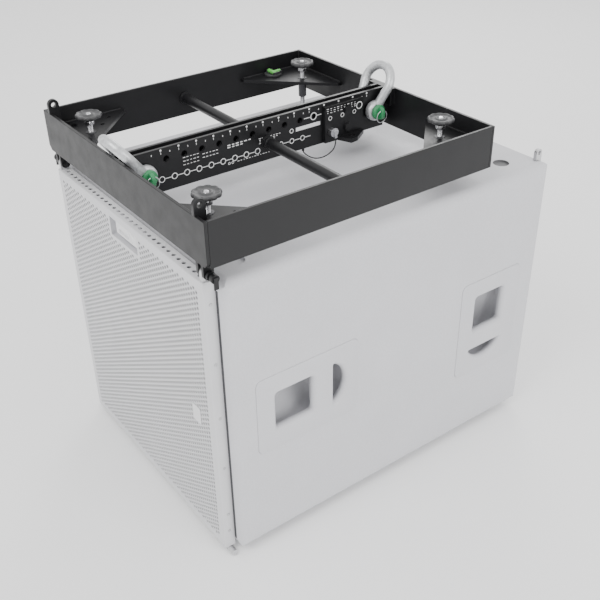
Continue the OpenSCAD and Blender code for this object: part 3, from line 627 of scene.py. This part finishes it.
def top_fold(lo, hi, bend, sheet, outer):
    """The folded top strip with its row of holes; its corners meet those of the folded edges."""
    y0, y1 = lo.y + bend, hi.y
    x0, x1 = outer[0][0] - bend, outer[1][0] + bend
    strip = np.array([(x0, y0), (x1, y0), (x1, y1), (x0, y1)])
    angle = 2 * np.pi * np.arange(12) / 12
    hole = 4.2 * MM * np.stack([np.cos(angle), 0.9 * np.sin(angle)], -1)
    pitch = 2 * PITCH_X
    centres = [((k - 15) * pitch, (y0 + y1) / 2 - 1 * MM) for k in range(31)]
    holes = [hole + centre for centre in centres]
    points, triangles = flat_region(strip, holes)

    def on_top(flat, depth):
        flat = np.asarray(flat)
        x = np.clip(flat[:, 0], x0 + depth, x1 - depth)
        return np.stack([x, flat[:, 1], np.full(len(flat), hi.z - depth)], -1)

    return sheet_shell(points, triangles, holes, on_top, sheet)


# ---------- handles ----------

def half_moon(grow, count=56):
    """The finger hole: half an ellipse, flat towards the bowl, with rounded corners, grown by grow."""
    centre, wide, tall, flat, corner = 47.5 * MM, 46 * MM, 55 * MM, 48.5 * MM, 9 * MM
    wide, tall, flat, corner = wide + grow, tall + grow, flat - grow, max(corner + grow, 1.5 * MM)
    angle = np.linspace(-np.pi / 2, np.pi / 2, count)
    curve = np.stack([centre + wide * np.cos(angle), tall * np.sin(angle)], -1)
    curve = curve[curve[:, 0] > flat + corner]
    top, bottom = curve[-1], curve[0]
    turn = np.linspace(0, np.pi / 2, 8)
    upper = np.stack([flat + corner - corner * np.sin(turn), top[1] - corner + corner * np.cos(turn)], -1)
    lower = np.stack([flat + corner - corner * np.cos(turn), bottom[1] + corner - corner * np.sin(turn)], -1)
    outline = np.concatenate([curve, upper, lower])
    closed = np.concatenate([outline, outline[:1]])
    run = np.concatenate([[0], np.cumsum(np.linalg.norm(np.diff(closed, axis=0), axis=1))])
    even = np.linspace(0, run[-1], 73)[:-1]
    return np.stack([np.interp(even, run, closed[:, 0]), np.interp(even, run, closed[:, 1])], -1)


def handle_shells():
    """A die-cast dish in its own plane: a plate with two openings whose lips roll over and back under.
    The tub behind them, with a floor that falls away towards the grip, is made by handle_tub."""
    length, width, corner, proud = 225 * MM, 164 * MM, 13 * MM, 1.5 * MM
    edge = 1.2 * MM
    turns = np.linspace(0, np.pi / 2, 4)
    rim = [rounded_rectangle(length, width, corner, grow=-edge + edge * math.sin(a)) for a in turns]
    rim_depth = [proud - edge + edge * math.cos(a) for a in turns]
    rim.append(rim[-1])
    rim_depth.append(-1.5 * MM)
    rings = np.stack([np.concatenate([r, np.full((len(r), 1), d)], 1) for r, d in zip(rim, rim_depth)])
    shells = [(rings.reshape(-1, 3), grid_faces(len(rings), rings.shape[1]).tolist())]

    def bowl(grow):
        centre = np.array([-30.5 * MM, 0.0])
        return centre + rounded_rectangle(100 * MM, 97 * MM, 15 * MM, grow=grow)

    openings = []
    for outline, roll in ((bowl, 10 * MM), (half_moon, 10 * MM)):
        turn = np.linspace(0, np.pi * 0.86, 12)
        grow = -roll * np.sin(turn) * np.where(turn > np.pi / 2, 0.92, 1.0)
        depth = proud - roll * (1 - np.cos(turn))
        lip = np.stack([np.concatenate([outline(g), np.full((len(outline(g)), 1), d)], 1)
                        for g, d in zip(grow, depth)])
        shells.append((lip.reshape(-1, 3), grid_faces(len(lip), lip.shape[1]).tolist()))
        openings.append(outline(0.0))
    points, triangles = flat_region(rim[0], openings)
    face = np.concatenate([points, np.full((len(points), 1), proud)], 1)
    shells.append((face, triangles.tolist()))
    return shells


def handle_tub():
    """The tub: walls carried down from under the plate, then a floor that sinks from its shallow end."""
    deep = 60 * MM
    rings = []
    for depth in np.linspace(-1.6 * MM, -44 * MM, 6):
        outline = rounded_rectangle(190 * MM, 118 * MM, 22 * MM)
        rings.append(np.concatenate([outline, np.full((len(outline), 1), depth)], 1))
    for a in np.linspace(0.2, np.pi / 2, 6):
        outline = rounded_rectangle(190 * MM, 118 * MM, 22 * MM, grow=-16 * MM * (1 - math.cos(a)))
        depth = -44 * MM - 16 * MM * math.sin(a)
        rings.append(np.concatenate([outline, np.full((len(outline), 1), depth)], 1))
    for share in np.linspace(0.9, 0.1, 7):
        outline = rounded_rectangle(190 * MM, 118 * MM, 22 * MM, grow=-16 * MM) * share
        rings.append(np.concatenate([outline, np.full((len(outline), 1), -deep)], 1))
    tub = np.array(rings)
    along = tub[..., 0]
    rise = 34 * MM * np.clip((-12 * MM - along) / (72 * MM), 0, 1) ** 1.3
    floor = tub[..., 2] < -deep + rise
    tub[..., 2] = np.where(floor, -deep + rise, tub[..., 2])
    rows, columns = tub.shape[:2]
    verts = np.concatenate([tub.reshape(-1, 3), tub[-1].mean(0)[None]])
    faces = grid_faces(rows, columns).tolist()
    faces += [[rows * columns, (rows - 1) * columns + j, (rows - 1) * columns + (j + 1) % columns]
              for j in range(columns)]
    return verts, faces


def handles():
    """Two dishes on each side: the front one has its finger hole to the rear, the rear one below."""
    plate = joined(handle_shells())
    tub = handle_tub()
    side = 300 * MM
    places = {
        "handle_front": lambda p: np.stack([side + p[:, 2], -206.8 * MM + p[:, 0], 312.5 * MM + p[:, 1]], -1),
        "handle_rear": lambda p: np.stack([side + p[:, 2], 253.5 * MM + p[:, 1], 285.5 * MM - p[:, 0]], -1)}
    for name, place in places.items():
        for hand, sign in (("right", 1.0), ("left", -1.0)):
            node = f"{name}_{hand}"
            mirror = np.array([sign, 1.0, 1.0])
            dish = open_shell(node + "_plate", place(plate[0]) * mirror, plate[1], sign, "handle_plastic")
            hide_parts(node)
            cup = open_shell(node + "_tub", place(tub[0]) * mirror, tub[1], sign, "handle_plastic")


def open_shell(name, verts, faces, sign, finish):
    """A surface whose front looks along sign times X, given a wall of 1.6 mm behind it."""
    made = piece(name, verts, faces, finish, crease=50, weld=2e-6)
    mesh = made.data
    normals = np.zeros(len(mesh.polygons) * 3)
    mesh.polygons.foreach_get("normal", normals)
    areas = np.zeros(len(mesh.polygons))
    mesh.polygons.foreach_get("area", areas)
    if (normals.reshape(-1, 3)[:, 0] * areas).sum() * sign < 0:
        mesh.flip_normals()
    wall = made.modifiers.new("wall", "SOLIDIFY")
    wall.thickness = 1.6 * MM
    wall.offset = -1.0
    return made


# ---------- jack screws ----------

JACKS = {"fl": (-213.3, -334.7), "fr": (213.3, -334.7), "rl": (-213.3, 163.8), "rr": (213.3, 163.8)}


def threaded_rod(x, y, low, high, radius=5.0, pitch=1.5, depth=0.92):
    """A V thread: the radius falls by depth and rises again once per pitch, shifted round by the angle."""
    low, high = low * MM, high * MM
    sides, per_turn = 20, 6
    rows = int((high - low) / (pitch * MM) * per_turn) + 1
    height = np.linspace(low, high, rows)
    angle = np.linspace(0, 2 * np.pi, sides, endpoint=False)
    phase = (height[:, None] / (pitch * MM) + angle[None] / (2 * np.pi)) % 1.0
    cut = 1.0 - np.abs(2 * phase - 1)
    ends = np.clip(np.minimum(height - low, high - height) / (1.0 * MM), 0.0, 1.0)[:, None]
    size = (radius - depth * (1 - cut * 0.95) - (1 - ends) * 0.6) * MM
    points = np.stack([x * MM + size * np.cos(angle), y * MM + size * np.sin(angle),
                       np.broadcast_to(height[:, None], size.shape)], -1)
    return capped_grid(points)


def hexagon(x, y, low, high, across, chamfer=0.8):
    """A hexagon prism whose corners are cut by a cone at both ends: rings of the hexagon and its circle."""
    angle = np.linspace(0, 2 * np.pi, 48, endpoint=False)
    reach = (across / 2) / np.cos((angle + np.pi / 6) % (np.pi / 3) - np.pi / 6)
    rings = []
    inscribed, corners = across / 2 - 0.1, across / 2 * 1.1547
    for height, limit in ((low, inscribed), (low + chamfer, corners), (high - chamfer, corners),
                          (high, inscribed)):
        size = np.minimum(reach, limit) * MM
        rings.append(np.stack([x * MM + size * np.cos(angle), y * MM + size * np.sin(angle),
                               np.full(48, height * MM)], -1))
    return capped_grid(np.array(rings))


def jack_knob(x, y):
    """A flat moulded knob: rim, dished top with a raised ring and boss, tapered hub, ten shallow scallops."""
    profile = np.array([
        (10.5, 710.7), (11.4, 712.0), (13.0, 716.2), (17.0, 716.9), (22.6, 716.7), (24.4, 717.6),
        (25.0, 719.4), (25.0, 721.6), (24.2, 723.4), (22.6, 724.0), (21.0, 723.6), (19.6, 722.3),
        (14.0, 721.6), (11.6, 721.8),
        (10.4, 723.0), (9.2, 723.6), (7.0, 723.6), (5.9, 723.2), (5.6, 722.0)]) * MM
    return turned(profile, (x * MM, y * MM, 0), "z", sides=120, lobes=10, depth=0.085)


def jacks():
    slot = slots_by_node()
    for corner, (x, y) in JACKS.items():
        body, foot_node = "jack_screw_" + corner, "jack_foot_" + corner
        rod = joined([threaded_rod(x, y, 610.2, 724.4), hexagon(x, y, 702.7, 710.6, 17)])
        piece(f"jack_rod_{corner}", *rod, "zinc_rod", body=body, stands_for=("jack_screw_" + corner,),
              slot=slot["jack_screw_" + corner], crease=50)
        piece(f"jack_knob_{corner}", *jack_knob(x, y), "knob_black", body=body, slot="frame_black", crease=50)
        foot = np.array([(14.0, 605.2), (15.0, 606.2), (15.0, 608.0), (14.0, 609.2), (10.6, 609.6),
                         (10.0, 610.4), (9.8, 615.6), (8.6, 617.0), (5.4, 617.1), (5.2, 610.0)]) * MM
        piece(f"jack_foot_{corner}_turned", *turned(foot, (x * MM, y * MM, 0), "z"), "rubber",
              body=foot_node, stands_for=(foot_node,), slot=slot[foot_node])
    bush = []
    for x, y in JACKS.values():
        profile = np.array([(5.2, 647.0), (7.6, 647.0), (8.6, 648.0), (8.6, 680.2), (9.4, 680.9),
                            (9.4, 687.2), (10.2, 687.3), (9.8, 688.0), (8.0, 688.2), (5.4, 688.2),
                            (5.2, 687.6)]) * MM
        bush.append(turned(profile, (x * MM, y * MM, 0), "z"))
    piece("jack_bush_set", *joined(bush), "bush_steel", stands_for=("jack_bushes",), slot=slot["jack_bushes"])


# ---------- shackles ----------

def bow_path(steps):
    """The bow as points (across, up): two legs that leave the eyes and flare into a round crown."""
    crown, height, eye = 35.0, 88.0, 24.0
    a = np.linspace(-0.36, np.pi + 0.36, steps)
    arc = np.stack([crown * np.cos(a), height - crown + crown * np.sin(a)], -1)
    foot = np.array([(eye, 0.0), (eye + 0.4, 10.0)])
    right = np.concatenate([foot, arc])
    left = np.stack([-foot[::-1, 0], foot[::-1, 1]], -1)
    points = np.concatenate([right, left]) * MM
    for _ in range(2):
        middle = 0.25 * points[:-2] + 0.5 * points[1:-1] + 0.25 * points[2:]
        points = np.concatenate([points[:1], middle, points[-1:]])
    return points


def shackle(name, pin, lean, body):
    """A forged bow: a round bar along its path, thicker where it runs into the eyes,
    and two barrel-shaped eyes."""
    flat = bow_path(48)
    flat = smooth_path(np.concatenate([flat, np.zeros((len(flat), 1))], 1), 2)[:, :2]
    share = np.abs(np.linspace(-1, 1, len(flat)))
    size = (9.0 + 1.2 * np.exp(-((share - 1.0) / 0.05) ** 2)) * MM
    along = np.array([0.0, math.sin(lean), math.cos(lean)])
    path = np.array(pin) + flat[:, :1] * np.array([1.0, 0, 0]) + flat[:, 1:] * along
    normal = np.cross((1.0, 0, 0), along)
    bar = tube(path, size, sides=24, up=tuple(normal))
    eye = np.array([(12.0, -8.0), (15.5, -8.2), (18.0, -7.2), (19.6, -4.6), (20.0, 0.0), (19.6, 4.6),
                    (18.0, 7.2), (15.5, 8.2), (12.0, 8.0)]) * MM
    eyes = [turned(eye, (pin[0] + s * 24.0 * MM, pin[1], pin[2]), "x", sides=48) for s in (-1, 1)]
    node = "shackle_" + name
    verts, faces = joined([bar] + eyes)
    piece(node + "_forged", verts, faces, "galvanised", body=body, stands_for=(node,), slot="galvanised",
          crease=70)


def shackle_pin(name, pin, body):
    """A screw pin: green head with a flat tab, zinc shank and hexagon nut, and a split safety ring."""
    node = f"shackle_{name}_pin"
    shank = np.array([(9.0, -49.5), (10.0, -48.5), (10.0, 32.4), (10.0, 32.6)]) * MM
    shank = turned(shank, pin, "x", sides=40)
    nut = along_x(hexagon(0, 0, -45.5, -32.7, 30, 1.4), pin)
    piece(node + "_shank", *joined([shank, nut]), "zinc_steel", body=body, stands_for=(node,),
          slot="galvanised", crease=50)
    collar = turned(np.array([(10.0, 32.6), (13.6, 32.6), (14.8, 33.6), (15.0, 36.4), (14.4, 38.6),
                              (12.8, 40.0), (8.0, 40.6)]) * MM, pin, "x", sides=48)
    outline = np.array([(38.0, -11.5), (46.0, -12.0), (50.0, -10.0), (52.2, -5.0), (52.6, 0.0), (52.2, 5.0),
                        (50.0, 10.0), (46.0, 12.0), (38.0, 11.5)])
    tab = softened_slab(outline, 4.0, pin)
    piece(node + "_head", *joined([collar, tab]), "green_paint", body=body, slot="pin_black", crease=50)
    ring_angle = np.linspace(0, 2 * np.pi * 1.9, 90)
    drift = np.linspace(-0.7, 0.7, 90)
    ring = np.stack([pin[0] + (46.5 + np.sin(ring_angle)) * MM,
                     pin[1] + (12.5 * np.cos(ring_angle) + 0.5 * drift) * MM,
                     pin[2] + (-6.0 + 12.5 * np.sin(ring_angle)) * MM + drift * MM], -1)
    piece(node + "_ring", *tube(ring, 0.75 * MM, sides=8, up=(1.0, 0.02, 0.03)), "zinc_rod", body=body,
          slot="zinc_rod", crease=80)


def along_x(shell, centre):
    """A shell made along Z about the origin, laid along X through centre."""
    points, faces = shell
    points = np.asarray(points)
    return np.stack([points[:, 2], points[:, 0], points[:, 1]], -1) + np.asarray(centre), faces


def softened_slab(outline, half, centre):
    """An outline of (along X, along Z) as a slab with rounded rims, half thick on either side of the pin."""
    middle = outline.mean(0)
    rings = []
    for depth, shrink in ((-half, 0.86), (-half * 0.86, 0.95), (-half * 0.5, 1.0), (half * 0.5, 1.0),
                          (half * 0.86, 0.95), (half, 0.86)):
        flat = middle + (outline - middle) * shrink
        rings.append(np.stack([flat[:, 0], np.full(len(flat), depth), flat[:, 1]], -1) * MM)
    return capped_grid(np.array(rings) + np.asarray(centre)[None, None])


def shackles():
    front, rear = np.array([0.0, -343.0, 683.0]) * MM, np.array([0.0, 168.0, 681.0]) * MM
    shackle("front", front, math.radians(-37.5), "shackle_front")
    shackle("rear", rear, math.radians(28.0), "shackle_rear")
    shackle_pin("front", front, "shackle_front_pin")
    shackle_pin("rear", rear, "shackle_rear_pin")


# ---------- rounded copies of the plates, bars and small parts ----------

def rounded_parts():
    """Copies of the carried-over parts with worked edges: wider on the castings, fine on the steel plate."""
    slot = slots_by_node()
    widths = {
        "frame_front": 0.9, "frame_rear": 0.9, "frame_left": 0.9, "frame_right": 0.9, "corner_gussets": 0.6,
        "spine_left": 0.7, "spine_right": 0.7, "spine_spacers": 0.4, "cross_tubes": 0.6, "front_lugs": 0.8,
        "hoist_bracket": 0.8, "rigging_rails": 0.8, "grille_badge": 0.4, "connector_plate": 0.6,
        "connector_sockets": 0.5, "rubber_feet": 1.2, "woofer_basket": 1.0, "window_brace": 0.8,
        "port_shelf": 0.8, "panel_screws": 0.5, "woofer_magnet": 0.8}
    for node, width in widths.items():
        softened(node, slot[node], width * MM)
    softened("window_cup", "handle_plastic", 0.5 * MM)
    softened("window_latch", "badge", 1.2 * MM, segments=3, body="latch")
    for node in ("rear_link_left", "rear_link_right", "front_pin_left", "front_pin_right", "bracket_pin"):
        softened(node, slot[node], 0.7 * MM, body=node)


def welds():
    """Fillet welds: small round beads whose radius ripples along them, in the frame's corners,
    round the gussets and round the ends of the cross tubes."""
    beads = []

    def bead(start, end, radius=2.2):
        start, end = np.array(start) * MM, np.array(end) * MM
        length = float(np.linalg.norm(end - start))
        steps = max(int(length / (0.9 * MM)), 4)
        path = start + np.linspace(0, 1, steps)[:, None] * (end - start)
        up = (0.3, 0.9, 0.0) if abs(end[2] - start[2]) > 0.01 else (0.0, 0.0, 1.0)
        beads.append(tube(path, radius * MM, sides=8, up=up, ripple=0.13, waves=length / (3.2 * MM)))

    for sx in (-1, 1):
        for y in (-384.0, 211.0):
            inward = 1.0 if y < 0 else -1.0
            bead((sx * 290.5, y, 642), (sx * 290.5, y, 718), 2.6)
            bead((sx * 290.5, y + inward * 6, 687.2), (sx * 290.5, y + inward * 150, 687.2), 1.9)
            bead((sx * 284, y, 687.2), (sx * 140, y, 687.2), 1.9)
    turn = np.linspace(0, 2 * np.pi, 72)
    for sx in (-1, 1):
        for x, radius in ((25.8, 10.4), (290.2, 10.2)):
            across, up = radius * np.cos(turn), radius * np.sin(turn)
            ring = np.stack([np.full(72, sx * x), -86.5 + across, 677 + up], -1) * MM
            beads.append(tube(ring, 1.7 * MM, sides=8, up=(1.0, 0, 0), ripple=0.12, waves=20))
    for sx in (-1, 1):
        bead((sx * 13.6, -383.6, 650), (sx * 13.6, -383.6, 712), 1.8)
    piece("frame_welds", *joined(beads), "frame_black", slot="frame_black", crease=80)


# ---------- marks on the spine ----------

def slab_mark(x, y, z, wide, tall):
    left, right, low, high = y - wide / 2, y + wide / 2, z - tall / 2, z + tall / 2
    corners = np.array([(left, low), (right, low), (right, high), (left, high)]) * MM
    rings = [np.concatenate([np.full((4, 1), depth * MM), corners], 1) for depth in (x - 0.15, x + 0.12)]
    return capped_grid(np.array(rings))


def disc_mark(x, y, z, radius):
    profile = np.array([(radius, x - 0.15), (radius, x + 0.12)]) * MM
    return turned(profile, (0, y * MM, z * MM), "x", sides=20)


def ring_mark(x, y, z, radius, line):
    """An annulus: its small rectangular section carried round a circle and closed on itself."""
    angle = np.linspace(0, 2 * np.pi, 29)[:-1]
    section = [(radius, x - 0.15), (radius, x + 0.12), (radius - line, x + 0.12), (radius - line, x - 0.15)]
    rows = [np.stack([np.full(28, depth), y + r * np.cos(angle), z + r * np.sin(angle)], -1)
            for r, depth in section]
    rows.append(rows[0])
    return np.array(rows).reshape(-1, 3) * MM, grid_faces(5, 28).tolist()


def spine_print():
    """Generic print on the right spine plate: a row of dots and ticks by the holes, a chain of rings along
    the lower edge, lines of fine print as plain bars and an empty label field."""
    x = 13.0
    marks = []
    for k in range(14):
        marks.append(disc_mark(x, -306.1 + 35.5 * k, 716.6, 1.9))
        marks.append(slab_mark(x, -324.3 + 36 * k, 711.5, 1.3, 3.0))
        marks.append(slab_mark(x, -306.1 + 35.5 * k, 711.0, 1.0, 4.2))
    for k in range(9):
        y = -308.7 + 25.2 * k
        marks.append(ring_mark(x, y, 663, 6.0, 1.5))
        if k < 8:
            marks.append(slab_mark(x, y + 12.6, 663, 12.4, 1.3))
    for k in range(3):
        y = -53.7 + 25.2 * k
        marks.append(ring_mark(x, y, 663, 5.4, 1.4))
        marks.append(slab_mark(x, y + 12.6, 663, 12.8, 1.3))
    for y in (23.8, 130.3):
        marks.append(ring_mark(x if y < 40 else 21.15, y, 700, 7.6, 1.6))
    marks.append(slab_mark(x, 8.0, 700, 14, 1.4))
    marks.append(slab_mark(x, 37.0, 700, 11, 1.4))
    for row, (start, wide) in enumerate(((-172, 62), (-172, 40))):
        for word in range(int(wide / 9)):
            marks.append(slab_mark(x, start + 9 * word + 3.4, 690.5 - 4.2 * row, 6.6 - 1.6 * (word % 2), 2.0))
    for row in range(4):
        for word in range(8 - row):
            wide = 4.6 - 1.2 * ((word + row) % 3)
            marks.append(slab_mark(x, -101 + 6.4 * word, 686 - 3.2 * row, wide, 1.1))
    for row in range(5):
        for word in range(5):
            y = -262 + 7 * word + 40 * (row % 2)
            marks.append(slab_mark(x, y, 692 - 3.4 * row, 5.0 - (word % 3), 1.2))
    for word in range(12):
        marks.append(slab_mark(x, -150 + 6.2 * word, 655.2, 4.4 - 1.2 * (word % 3), 1.3))
    marks.append(ring_mark(x, -170, 655.5, 2.6, 1.0))
    marks.append(ring_mark(x, -162.5, 655.5, 2.6, 1.0))
    marks.append(ring_mark(x, -28.5, 683, 4.6, 1.3))
    marks.append(slab_mark(x, 10.5, 683, 58, 7.5))
    for row in range(3):
        for word in range(9):
            wide = 4.6 - 1.4 * ((word + row) % 3)
            marks.append(slab_mark(21.1, 52 + 8.4 * word, 709 - 4.0 * row, wide, 1.2))
    for k in range(3):
        marks.append(ring_mark(21.1, 58 + 30 * k, 690, 4.4, 1.2))
    piece("spine_print", *joined(marks), "print_white", slot="badge", crease=30)


# ---------- level and recess cups of painted shade ---

def spirit_level():
    """A round black base with a rim, two saddles and two green vials at right angles."""
    cx, cy, z = -269.5, 125.5, 687.0
    base = np.array([(18.2, z), (19.0, z + 0.8), (19.0, z + 3.9), (18.2, z + 4.7), (15.8, z + 4.9),
                     (15.2, z + 4.2), (9.0, z + 4.2)]) * MM
    body = [turned(base, (cx * MM, cy * MM, 0), "z")]
    for x0, x1, y0, y1 in ((-15.5, -11.5, -8, 8), (11.5, 15.5, -8, 8), (-4, 12, 12.5, 16.0)):
        low = rounded_rectangle((x1 - x0) * MM, (y1 - y0) * MM, 1.2 * MM, 3) + np.array(
            [cx + (x0 + x1) / 2, cy + (y0 + y1) / 2]) * MM
        rings = [np.concatenate([low, np.full((len(low), 1), height * MM)], 1)
                 for height in (z + 4, z + 9, z + 9.6)]
        body.append(capped_grid(np.array(rings)))
    piece("level_base", *joined(body), "black_plastic", stands_for=("spirit_level",), slot="level_plastic",
          crease=40)
    half = [(4.3, 9.8), (4.0, 11.4), (2.8, 12.6), (0.6, 13.0)]
    cap = [(r, -h) for r, h in half[::-1]] + half
    long_vial = turned(np.array(cap) * MM, (cx * MM, (cy - 3) * MM, (z + 8.0) * MM), "x", sides=28)
    short = [(r * 0.9, h * 0.62) for r, h in cap]
    short_vial = turned(np.array(short) * MM, ((cx + 4) * MM, (cy + 9.0) * MM, (z + 7.6) * MM), "y", sides=28)
    piece("level_vials", *joined([long_vial, short_vial]), "vial_green", slot="level_plastic", crease=60)


def recess_shade_cups():
    """Darker turned cups that line the rear recesses of the top; their dark grey is painted shade of the
    recesses.
    """
    cups = []
    for sx in (-1, 1):
        profile = np.array([(0.5, 600.02), (15.9, 600.02), (15.9, 604.5), (15.4, 604.5), (15.4, 601.0),
                            (14.6, 600.4), (0.5, 600.4)]) * MM
        cups.append(turned(profile, (sx * 242.5 * MM, 308 * MM, 0), "z", sides=56))
    # The cups' dark grey finish is painted shade inside the recesses.
    piece("recess_shade_cups", *joined(cups), "liner", slot="cabinet_paint", crease=40)


dress_cad_nodes()
lay_floor()
rounded_parts()
welds()
spine_print()
spirit_level()
recess_shade_cups()
lanyard()
grille()
handles()
jacks()
shackles()
